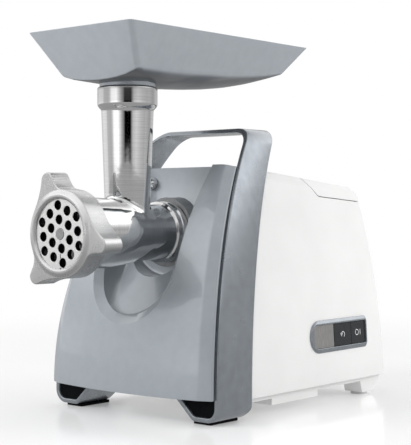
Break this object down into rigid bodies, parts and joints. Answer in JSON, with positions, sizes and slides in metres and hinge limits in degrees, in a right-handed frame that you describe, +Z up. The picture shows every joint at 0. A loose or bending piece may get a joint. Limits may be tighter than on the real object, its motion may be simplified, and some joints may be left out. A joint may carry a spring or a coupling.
{
  "type": "electric meat grinder",
  "caption": "Tabletop electric meat grinder with a band handle, a metal grinding head with a screw ring and perforated disc, and a feed tray.",
  "frame": {"origin": "on the floor under the middle of the whole machine's box", "axes": "+Z up; -Y is the front, where the screw ring is; +X is the side with the buttons"},
  "size_m": [0.196, 0.3556, 0.333],
  "materials": {
    "panel_grey": "satin",
    "tray_grey": "satin",
    "band_grey": "satin",
    "body_white": "gloss",
    "black_rubber": "matte",
    "button_black": "gloss",
    "brushed_steel": "brushed",
    "board_green": "matte",
    "dark_plastic": "matte",
    "chrome_knob": "polished",
    "bronze": "machined",
    "core_steel": "laminated",
    "copper_wire": "varnished",
    "bracket_alloy": "cast",
    "machined_steel": "machined",
    "nylon": "matte",
    "carbon": "matte",
    "cast_metal": "polished cast",
    "ring_metal": "satin"
  },
  "bodies": {
    "housing": {"front_housing": "panel_grey", "handle_band": "band_grey", "rear_housing": "body_white", "base_plate": "body_white", "foot_fillers": "black_rubber", "front_foot_pads": "black_rubber", "rear_foot_pads": "black_rubber", "control_bezel": "band_grey", "steel_insert": "brushed_steel", "control_board": "board_green", "button_switches": "dark_plastic", "drive_socket": "panel_grey", "gearbox_housing": "dark_plastic", "gearbox_cover": "dark_plastic", "output_bushes": "bronze", "layshaft_bushes": "bronze", "gearbox_screws": "brushed_steel", "motor_stator": "core_steel", "field_windings": "copper_wire", "motor_brackets": "bracket_alloy", "motor_bearings": "machined_steel", "motor_bolts": "brushed_steel", "brush_holders": "bronze", "carbon_brushes": "carbon", "filter_capacitor": "dark_plastic", "cord_grommet": "black_rubber", "storage_bin": "body_white", "lid_hinge_pin": "brushed_steel", "housing_screws": "brushed_steel"},
    "power_button": {"power_button": "button_black"},
    "reverse_button": {"reverse_button": "button_black"},
    "release_button": {"release_button": "chrome_knob"},
    "motor_rotor": {"armature_core": "core_steel", "armature_windings": "copper_wire", "commutator": "bronze", "motor_shaft": "machined_steel", "cooling_fan": "dark_plastic"},
    "first_shaft": {"first_gear": "nylon", "first_layshaft": "machined_steel"},
    "second_shaft": {"second_gear": "nylon", "second_layshaft": "machined_steel"},
    "output_drive": {"output_gear": "machined_steel", "output_shaft": "machined_steel", "auger": "brushed_steel", "knife": "brushed_steel"},
    "head": {"grinder_body": "cast_metal", "perforated_disc": "brushed_steel"},
    "screw_ring": {"screw_ring": "ring_metal"},
    "feed_tray": {"feed_tray": "tray_grey"},
    "storage_lid": {"storage_lid": "body_white"}
  },
  "joints": [
    {"name": "lid_hinge", "type": "hinge", "parent": "housing", "child": "storage_lid", "pos_m": [0, 0.166, 0.1874], "axis": [-1, 0, 0], "range_deg": [0, 95]},
    {"name": "power_press", "type": "slide", "parent": "housing", "child": "power_button", "axis": [-0.9977, -0.0225, -0.0632], "range_m": [0, 0.002], "stiffness_N_per_m": 900},
    {"name": "reverse_press", "type": "slide", "parent": "housing", "child": "reverse_button", "axis": [-0.9977, -0.0225, -0.0632], "range_m": [0, 0.002], "stiffness_N_per_m": 900},
    {"name": "release_press", "type": "slide", "parent": "housing", "child": "release_button", "axis": [0, 1, 0], "range_m": [0, 0.003], "stiffness_N_per_m": 900},
    {"name": "head_lock", "type": "hinge", "parent": "housing", "child": "head", "pos_m": [0, -0.0402, 0.16], "axis": [0, 1, 0], "range_deg": [0, 45]},
    {"name": "ring_screw", "type": "hinge", "parent": "head", "child": "screw_ring", "pos_m": [0, -0.1662, 0.16], "axis": [0, -1, 0], "range_deg": [0, 1080]},
    {"name": "tray_lift", "type": "slide", "parent": "head", "child": "feed_tray", "axis": [0, 0, 1], "range_m": [0, 0.04]},
    {"name": "output_spin", "type": "hinge", "parent": "housing", "child": "output_drive", "pos_m": [0, -0.0102, 0.16], "axis": [0, 1, 0], "continuous": true},
    {"name": "second_spin", "type": "hinge", "parent": "housing", "child": "second_shaft", "pos_m": [-0.03, -0.0002, 0.12], "axis": [0, 1, 0], "continuous": true},
    {"name": "first_spin", "type": "hinge", "parent": "housing", "child": "first_shaft", "pos_m": [-0.00001, 0.0048, 0.10452], "axis": [0, 1, 0], "continuous": true},
    {"name": "motor_spin", "type": "hinge", "parent": "housing", "child": "motor_rotor", "pos_m": [-0.00001, 0.0798, 0.07152], "axis": [0, 1, 0], "continuous": true}
  ],
  "couplings": [
    {"joint": "second_spin", "follows": "output_spin", "ratio": -4},
    {"joint": "first_spin", "follows": "output_spin", "ratio": 17.6},
    {"joint": "motor_spin", "follows": "output_spin", "ratio": -88}
  ]
}
